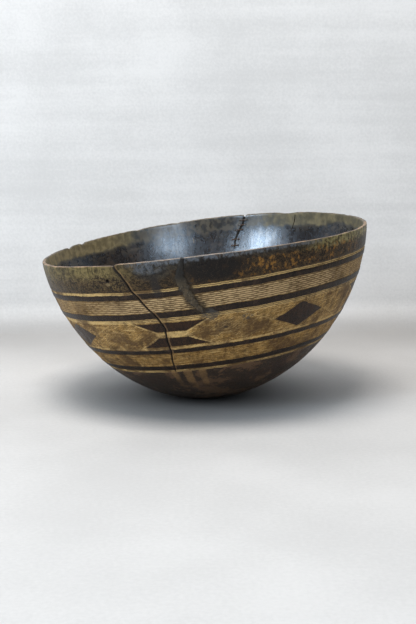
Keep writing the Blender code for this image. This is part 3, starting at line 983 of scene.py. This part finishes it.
# %% Add the marks and put the outside together
def marked(t, colour):
    rung_at = shaken(t.co, t.azimuth, 1.4, 1.6)
    rungs = any_of(*[rung_at.within(left, right, 0.9) for left, right in
                     ((-112.5, -109.7), (-106.8, -102.5), (-98.9, -95.3))])
    fade = (t.height + t.smudge["Broad"].swing(0.20)).rise(0.215, 0.09)
    rungs = rungs * fade * t.height.fall(0.315, EDGE) * (t.streaks * 0.5 + 0.40)
    from_crack = beside_route(*t.wall, OPEN_CRACK)
    crack_runs = t.height.rise(0.31, 0.02)
    worn = from_crack.within(0.45, 0.95, 0.35) * crack_runs * (t.streaks * 0.6 + 0.35)
    grime = from_crack.within(-0.60, 0.26, 0.45) * crack_runs * 0.90
    smear = (shaken(t.co, beside_route(*t.wall, FRONT_MEND), 3.0, 3.5).within(-2.4, 2.6, 1.6)
             * t.height.within(0.665, 0.90, 0.05))
    splash = spots(t.wall, ((-90.0, 0.655), (4.2, 0.050)), ((-77.5, 0.612), (3.0, 0.026)))
    splash = splash * (t.mottle + splash * 0.16).rise(0.60, 0.10)
    chips = ((-91.1, 0.683), (-95.4, 0.85), (-97.5, 0.82), (-85.2, 0.568), DRILLED_HOLE)
    dark_spots = spots(t.wall, ((-106.4, 0.850), (2.1, 0.090)),
                       *[(at, (1.1, 0.008)) for at in chips])
    under_hole = spots(t.wall, ((-123.3, 0.886), (1.3, 0.013), 0.50))
    return layers(
        colour, (rungs, (0.235, 0.137, 0.058)),
        (worn * 0.60, (0.30, 0.175, 0.080)), (grime, (0.016, 0.010, 0.007)),
        (smear * 0.80, (0.036, 0.026, 0.016)), (splash * 0.70, (0.060, 0.058, 0.054)),
        (dark_spots * 0.85, (0.020, 0.017, 0.016)), (under_hole, (0.28, 0.20, 0.10)),
        (t.hairs * 0.22, (0.22, 0.145, 0.080)), (t.pores * 0.45, (0.020, 0.013, 0.010)))


def finish_outside():
    shader, co = start_finish(SKINS[0])
    azimuth, height, off, kind = map_of(co)
    m = scraped_pattern(co, azimuth, height, off, kind)
    fibre = co.through(FIBRE)
    t = SimpleNamespace(
        co=co, azimuth=azimuth, height=height, wall=(azimuth, height),
        streaks=fibre["Streaks"], pores=fibre["Pores"], hairs=co.through(SCRATCHES)["Lines"],
        smudge=co.through(BLOTCHES, Size=34.0, Amount=0.42),
        fleck=co.through(BLOTCHES, Size=120.0, Amount=0.40)["Ragged"],
        specks=co.stretch(1.0, 1.0, 1.5).noise(620.0, 4.0, 0.65),
        drop=co.stretch(1.0, 1.0, 0.7).noise(300.0, 6.0, 0.70, 0.6),
        mottle=co.stretch(0.8, 0.8, 1.2).noise(230.0, 6.0, 0.68, 0.5))
    rim, glaze, char = rubbed_rim(t, m)
    colour = layers(stained_skin(t, m), (m.scraped, scraped_wood(t, m)), (m.rim, rim))
    relief = (t.streaks * 0.10 + m.rope * 0.20 + m.hatch * -0.12 + t.hairs * -0.06
              + t.pores * -0.10 + t.mottle * 0.16 + m.scraped * -0.12)
    rough = (m.scraped * m.rim.flip() * 0.20 + t.streaks * 0.08 + t.fleck * 0.10
             + glaze * -0.08 + char * -0.08 + 0.36)
    end_finish(shader, relief, Base_Color=marked(t, colour), Roughness=rough,
               Specular_IOR_Level=0.16)


finish_outside()

# %% [markdown]
# ## The inside
#
# The inside was greased and smoked until it turned nearly black and shiny, and its far wall is
# polished most, where it mirrors the windows of the room in soft patches. A clear coat gives it
# that polish. Above a wavy line where the contents stopped, the grease is worn away and the wood
# is grey-olive.

# %% Finish the inside
def finish_inside():
    shader, co = start_finish(SKINS[1])
    azimuth, height, _, _ = map_of(co)
    fibre = co.through(FIBRE, Coarse=0.8)
    wear, fine = (co.through(BLOTCHES, Size=size, Amount=amount)
                  for size, amount in ((42.0, 0.40), (150.0, 0.42)))
    hairs, streaks, patches = co.through(SCRATCHES)["Lines"], fibre["Streaks"], fine["Broad"]

    # the grease, worn off above the wavy line except behind the mend and opposite it
    line = (height + co.stretch(1.0, 1.0, 0.3).noise(26.0, 3.0, 0.6).swing(0.090)
            + patches.swing(0.014))
    kept = any_of(*[shaken(co, azimuth, 26.0, 6.0).within(*span) for span in
                    ((66.0, 140.0, 20.0), (-300.0, -240.0, 18.0))])
    worn = line.rise(0.926, 0.034) * (kept * 0.85).flip()
    mottled = height.rise(0.895, 0.05) * patches.rise(0.50, 0.12) * 0.70
    grease = layers((0.016, 0.011, 0.008), (wear["Ragged"] * 0.65, (0.075, 0.047, 0.024)),
                    (streaks * 0.30, (0.028, 0.020, 0.016)), (mottled, (0.105, 0.080, 0.050)))
    golden = layers((0.190, 0.130, 0.042), (patches.rise(0.5, 0.3), (0.330, 0.240, 0.098)))
    bare = layers((0.085, 0.066, 0.028),
                  ((patches * 0.55 + wear["Broad"] * 0.40 + streaks * 0.05).rise(0.5, 0.34),
                   (0.215, 0.168, 0.076)),
                  (azimuth.within(-236.0, -176.0, 20.0) * 0.6, golden))

    # lines, scratches, a nick, and the crust of pitch along the rear mend
    from_mend = beside_route(azimuth, height, REAR_MEND, start=53.0)
    crust = (from_mend.within(-1.1, 1.1, 0.9) * height.rise(0.78, 0.03)
             * co.noise(260.0, 3.0, 0.6).rise(0.46, 0.14))
    colour = layers(
        grease, (worn, bare), (line.within(0.900, 0.929, 0.012) * 0.45, (0.014, 0.012, 0.012)),
        (hairs * 0.26, (0.12, 0.09, 0.06)),
        (spots((azimuth, height), ((95.4, 0.895), (0.35, 0.024), 0.6)), (0.26, 0.21, 0.15)),
        (crust * 0.75, (0.020, 0.017, 0.015)))

    polished = any_of(*[shaken(co, azimuth, 20.0, 6.0).within(*span, 22.0) for span in
                        ((50.0, 300.0), (-400.0, -229.0))])
    patchy = (patches * 0.6 + streaks * 0.4).rise(0.5, 0.30) * 0.5 + 0.50
    dents = co.stretch(1.0, 1.0, 0.8).noise(190.0, 5.0, 0.68, 0.8)
    relief = dents * 0.17 + streaks * 0.06 + hairs * -0.05 + patches * 0.14 + worn * -0.06
    end_finish(shader, relief,
               Base_Color=colour, Specular_IOR_Level=0.90, Specular_Tint=(0.55, 0.76, 1.0),
               Roughness=(patches * 0.20 + worn * 0.30 + wear["Ragged"] * 0.07
                          + streaks * 0.05 + 0.15),
               Coat_Weight=polished * worn.flip() * patchy * (1.0 - mottled * 0.6),
               Coat_Roughness=0.27, Coat_IOR=1.95)


finish_inside()

# %% [markdown]
# ## The lip and the wood in the crack
#
# The lip is rubbed to bare wood in front, where hands held the bowl, and duller elsewhere. Beside
# the mends it is smoother, and a paler colour there is a painted highlight along the lip. The crack
# shows old wood, dark with dirt and quite dull.

# %% Finish the lip and the crack
def finish_lip():
    shader, co = start_finish(SKINS[2])
    streaks = co.through(FIBRE)["Streaks"]
    wear = co.through(BLOTCHES, Size=60.0, Amount=0.50)["Broad"]
    azimuth = map_of(co)[0]
    # beside the mends the lip is smoother, and its paler colour there is a painted highlight
    lip_mended_with_painted_highlight = azimuth.within(-114.0, -62.0, 12.0)
    dull = layers((0.036, 0.033, 0.022), (streaks, (0.100, 0.088, 0.052)))
    colour = layers((0.120, 0.072, 0.038), (streaks, (0.420, 0.270, 0.150)),
                    (wear.rise(0.52, 0.14) * 0.70, (0.045, 0.032, 0.020)),
                    (azimuth.within(-176.0, -4.0, 20.0).flip() * 0.75, dull),
                    (lip_mended_with_painted_highlight * 0.55, (0.200, 0.165, 0.140)))
    end_finish(shader, streaks * 0.12 + co.noise(300.0, 4.0, 0.6) * 0.20, Base_Color=colour,
               Roughness=streaks * 0.16 + lip_mended_with_painted_highlight * -0.14 + 0.36)


def finish_crack_wood():
    shader, co = start_finish(SKINS[3])
    streaks = co.through(FIBRE)["Streaks"]
    end_finish(shader, streaks * 0.15, Roughness=0.8,
               Base_Color=layers((0.008, 0.005, 0.003), (streaks, (0.030, 0.017, 0.009))))


finish_lip()
finish_crack_wood()

# %% [markdown]
# ## Pitch and iron
#
# Old pitch is brown-black where it is thick and glossy, and grey-brown where dust has stuck to it.
# The wire has rusted: patches of dark brown scale over dull metal.

# %% Finish the fillers and the staples
MERGE_HEIGHT = wall_frame(-98.2, 0.866)[0].z        # above it the bead blends into the dark rim


def finish_pitch(material):
    shader, co = start_finish(material)
    lumps = co.noise(240.0, 4.0, 0.6, 0.8)
    dust = co.through(BLOTCHES, Size=95.0, Amount=0.55)["Ragged"]
    fine = co.stretch(1.0, 1.0, 0.35).noise(900.0, 3.0, 0.6)
    on_the_rim = (co.parts()[2] + lumps.swing(0.02)).rise(MERGE_HEIGHT, 0.014)
    colour = layers((0.012, 0.009, 0.006), (lumps.rise(0.5, 0.18), (0.070, 0.048, 0.025)),
                    (dust * 0.40, (0.088, 0.066, 0.039)),
                    (fine.rise(0.60, 0.12) * 0.40, (0.17, 0.135, 0.088)),
                    (on_the_rim * 0.90, (0.008, 0.007, 0.006)))
    end_finish(shader, lumps * 0.60 + fine * 0.16, Base_Color=colour, Roughness=dust * 0.22 + 0.46,
               Specular_IOR_Level=0.30)


def finish_iron(material):
    shader, co = start_finish(material)
    rust = co.through(BLOTCHES, Size=260.0, Amount=0.60)["Ragged"]
    pits = co.noise(2600.0, 3.0, 0.6)
    end_finish(shader, pits * 0.10, Metallic=0.9 - rust * 0.65,
               Roughness=rust * 0.34 + pits * 0.10 + 0.34,
               Base_Color=layers((0.20, 0.19, 0.18), (rust, (0.075, 0.040, 0.024))))


for name, finish, pieces in (("old_pitch", finish_pitch, [front_pitch, rear_pitch]),
                             ("rusted_wire", finish_iron, staples)):
    material = bpy.data.materials.new(name)
    finish(material)
    for piece in pieces:
        piece.data.materials.append(material)

# %% [markdown]
# ## A quiet corner of a studio
#
# The bowl stands on a pale floor that curves up into a pale wall close behind it. One surface
# makes both: its outline is drawn from the side, rounded at the bend and extruded. The floor is
# greyer than the wall, painted shade darkens it towards the bend, and a painted shadow lies under
# the bowl. From behind, the wall is see-through, so the back of the bowl can be looked at as well.

# %% Build the floor and wall
WALL_AT, BEND = 0.42, 0.045
STAGE_REACH, WALL_TOP = 3.0, 2.4


def build_backdrop():
    bm = bmesh.new()
    outline = [(-STAGE_REACH, 0.0), (WALL_AT - BEND, 0.0)]
    outline += [(WALL_AT - BEND + BEND * math.sin(math.pi / 2 * k / 12),
                 BEND - BEND * math.cos(math.pi / 2 * k / 12)) for k in range(1, 13)]
    outline.append((WALL_AT, WALL_TOP))
    chain = [bm.verts.new((-STAGE_REACH, y, z)) for y, z in outline]
    edges = [bm.edges.new(pair) for pair in zip(chain, chain[1:])]
    grown = bmesh.ops.extrude_edge_only(bm, edges=edges)["geom"]
    bmesh.ops.translate(bm, verts=[g for g in grown if isinstance(g, bmesh.types.BMVert)],
                        vec=(2 * STAGE_REACH, 0.0, 0.0))
    bmesh.ops.recalc_face_normals(bm, faces=bm.faces)
    if sum(f.normal.z for f in bm.faces) < 0:
        bmesh.ops.reverse_faces(bm, faces=bm.faces)
    for face in bm.faces:
        face.smooth = True
    return add_object("studio_corner", bm)


def finish_plaster():
    material = bpy.data.materials.new("pale_plaster")
    shader, co = start_finish(material)
    cloud, grit = co.noise(7.0, 3.0, 0.5), co.noise(260.0, 3.0, 0.6)
    brush = co.stretch(3.0, 3.0, 60.0).noise(1.0, 3.0, 0.6)
    x, y, z = co.parts()
    on_floor = z.fall(0.018, 0.03)
    # painted shadow: a dark patch in the floor's colour under the bowl
    painted_shadow_under_bowl = (x * x + y * y).calc('SQRT').fall(0.115, 0.17)
    plaster = layers(
        (0.665, 0.649, 0.633),
        ((cloud * 0.45 + brush * 0.25 + grit * 0.3).rise(0.5, 0.34), (0.800, 0.781, 0.763)),
        # the floor is greyer, and painted shade makes it darker still towards the bend
        (on_floor * (y.rise(0.26, 0.26) * 0.32 + 0.36), (0.355, 0.345, 0.338)),
        (on_floor * painted_shadow_under_bowl, (0.110, 0.105, 0.100)))
    end_finish(shader, grit * 0.12 + brush * 0.15, Base_Color=plaster, Roughness=0.85)
    tree = material.node_tree
    behind = put(tree, "ShaderNodeNewGeometry", out="Backfacing")
    both = put(tree, "ShaderNodeMixShader", {0: behind, 1: Flow(shader.outputs[0]),
                                             2: put(tree, "ShaderNodeBsdfTransparent")})
    feed(tree.nodes["Material Output"].inputs["Surface"], both)
    return material


corner = build_backdrop()
corner.data.materials.append(finish_plaster())
print("wall stands", WALL_AT, "m behind the middle of the bowl")

# %% [markdown]
# ## Light and camera
#
# Two soft lamps stand to the left and right like windows with daylight, and the far inside wall
# mirrors them as two bluish patches. A warmer one hangs above. The sky gives little light, so that
# the shadows stay dark, but a camera that looks past the floor sees it pale. The camera stands a
# little above the rim, so that the far inside wall can be seen.

# %% Set the lamps, the sky and the camera
RIM_CENTRE = lean_and_wander(Vector((0.0, 0.0, DEPTH))) - FOOT
TARGET = RIM_CENTRE + Vector((0.0034, 0.0, -0.0790))
CAMERA_DISTANCE, CAMERA_PITCH, CAMERA_ROLL = 1.2377, math.radians(9.05), math.radians(-0.45)
DAYLIGHT, LAMPLIGHT = (0.77, 0.885, 1.0), (1.0, 0.97, 0.93)


def aim(obj, at):
    obj.rotation_euler = (at - obj.location).to_track_quat('-Z', 'Y').to_euler()


def lamp(name, turn, rise, distance, width, height, power, colour):
    """A soft lamp seen from the bowl at a turn from the camera's direction, right positive."""
    data = bpy.data.lights.new(name, 'AREA')
    data.shape, data.size, data.size_y = 'RECTANGLE', width, height
    data.energy, data.color = power, colour
    obj = bpy.data.objects.new(name, data)
    bpy.context.scene.collection.objects.link(obj)
    t, r = math.radians(turn), math.radians(rise)
    obj.location = RIM_CENTRE + Vector((math.sin(t) * math.cos(r), -math.cos(t) * math.cos(r),
                                        math.sin(r))) * distance
    aim(obj, RIM_CENTRE)
    return obj


lamps = [lamp("right_window", 27.0, 20.5, 1.7, 0.60, 0.86, 8.2, DAYLIGHT),
         lamp("left_window", -49.0, 22.0, 1.7, 0.64, 0.86, 19.5, DAYLIGHT),
         lamp("soft_top", -24.0, 76.0, 1.9, 0.9, 0.8, 30.0, LAMPLIGHT)]

world = bpy.data.worlds.new("pale_sky")
bpy.context.scene.world = world
world.use_nodes = True
sky = world.node_tree
dim = sky.nodes["Background"]
feed(dim.inputs["Color"], (0.93, 0.96, 1.0))
feed(dim.inputs["Strength"], 0.05)
seen = put(sky, "ShaderNodeBackground", {0: (0.76, 0.77, 0.78)})
looked_at = put(sky, "ShaderNodeLightPath", out="Is Camera Ray")
both = put(sky, "ShaderNodeMixShader", {0: looked_at, 1: Flow(dim.outputs[0]), 2: seen})
feed(sky.nodes["World Output"].inputs["Surface"], both)
bpy.context.scene.view_settings.view_transform = 'Standard'

camera_data = bpy.data.cameras.new("camera")
camera_data.lens, camera_data.sensor_width, camera_data.sensor_fit = 63.5, 36.0, 'AUTO'
camera = bpy.data.objects.new("camera", camera_data)
bpy.context.scene.collection.objects.link(camera)
camera.location = TARGET + CAMERA_DISTANCE * Vector((0.0, -math.cos(CAMERA_PITCH),
                                                     math.sin(CAMERA_PITCH)))
aim(camera, TARGET)
camera.rotation_euler.rotate_axis('Z', CAMERA_ROLL)
bpy.context.scene.camera = camera
print("camera at", tuple(round(c, 3) for c in camera.location), "with", len(lamps), "lamps")
